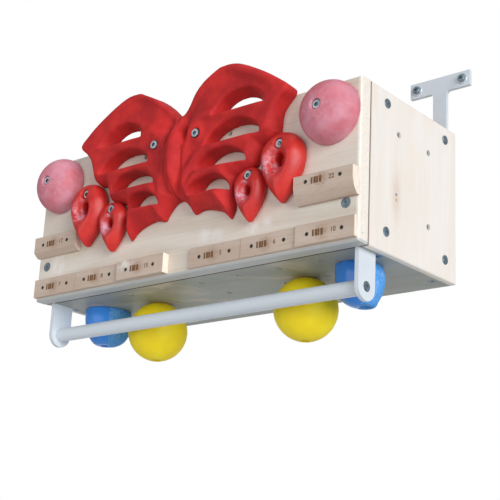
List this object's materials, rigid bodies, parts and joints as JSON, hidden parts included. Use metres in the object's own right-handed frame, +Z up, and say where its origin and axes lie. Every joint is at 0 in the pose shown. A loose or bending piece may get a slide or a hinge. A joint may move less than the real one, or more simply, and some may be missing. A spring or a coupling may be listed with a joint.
{
  "type": "climbing training station",
  "caption": "Wall-mounted plywood box with finger boards, finger pockets, slopers, wooden edges, hanging balls and a pull-up bar for grip training.",
  "frame": {"origin": "on the wall plane, at the back of the two wall plates, on the centre line, at the height of the wall bolts", "axes": "+X to the right of someone who faces the board, +Y into the wall, +Z up"},
  "size_m": [0.878, 0.3808, 0.5503],
  "materials": {
    "birch_plywood": "lacquered",
    "pine_batten": "sawn",
    "beech": "sanded",
    "white_powder_coat": "satin powder coat",
    "zinc_steel": "zinc plated",
    "matte_red_resin": "matte",
    "red_resin": "semi-gloss",
    "chalked_red_resin": "chalk dusted",
    "yellow_resin": "fine texture",
    "blue_resin": "fine texture"
  },
  "bodies": {
    "root": {"front_panel": "birch_plywood", "side_panel_right": "birch_plywood", "side_panel_left": "birch_plywood", "bottom_panel": "birch_plywood", "top_panel": "birch_plywood", "front_cleat_left": "pine_batten", "front_cleat_right": "pine_batten", "rear_cleat_left": "pine_batten", "rear_cleat_right": "pine_batten", "upper_cleat_left": "pine_batten", "upper_cleat_right": "pine_batten", "lower_cleat_left": "pine_batten", "lower_cleat_right": "pine_batten", "edge_07mm": "beech", "edge_08mm": "beech", "edge_15mm": "beech", "edge_05mm": "beech", "edge_06mm": "beech", "edge_10mm": "beech", "edge_17mm": "beech", "edge_22mm": "beech", "bar_bracket_left": "white_powder_coat", "bar_bracket_right": "white_powder_coat", "pull_up_bar": "white_powder_coat", "wall_bracket_left": "white_powder_coat", "wall_bracket_right": "white_powder_coat", "front_panel_screws": "zinc_steel", "bottom_panel_screws": "zinc_steel", "side_panel_screws": "zinc_steel", "front_t_nuts": "zinc_steel", "bottom_t_nuts": "zinc_steel", "side_t_nuts": "zinc_steel", "bracket_foot_screws": "zinc_steel", "bar_plug_right": "zinc_steel", "bar_plug_left": "zinc_steel", "bar_bolts": "zinc_steel", "wing_bolts": "zinc_steel", "sloper_bolts": "zinc_steel", "pocket_bolts": "zinc_steel", "edge_screws": "zinc_steel", "ball_bolts": "zinc_steel", "pinch_bolts": "zinc_steel", "stem_screws": "zinc_steel", "wing_board_left": "matte_red_resin", "wing_board_right": "matte_red_resin", "pocket_large_left": "red_resin", "pocket_large_right": "red_resin", "pocket_small_left": "red_resin", "pocket_small_right": "red_resin", "sloper_left": "chalked_red_resin", "sloper_right": "chalked_red_resin", "ball_left": "yellow_resin", "ball_right": "yellow_resin", "pinch_left": "blue_resin", "pinch_right": "blue_resin"}
  },
  "joints": []
}
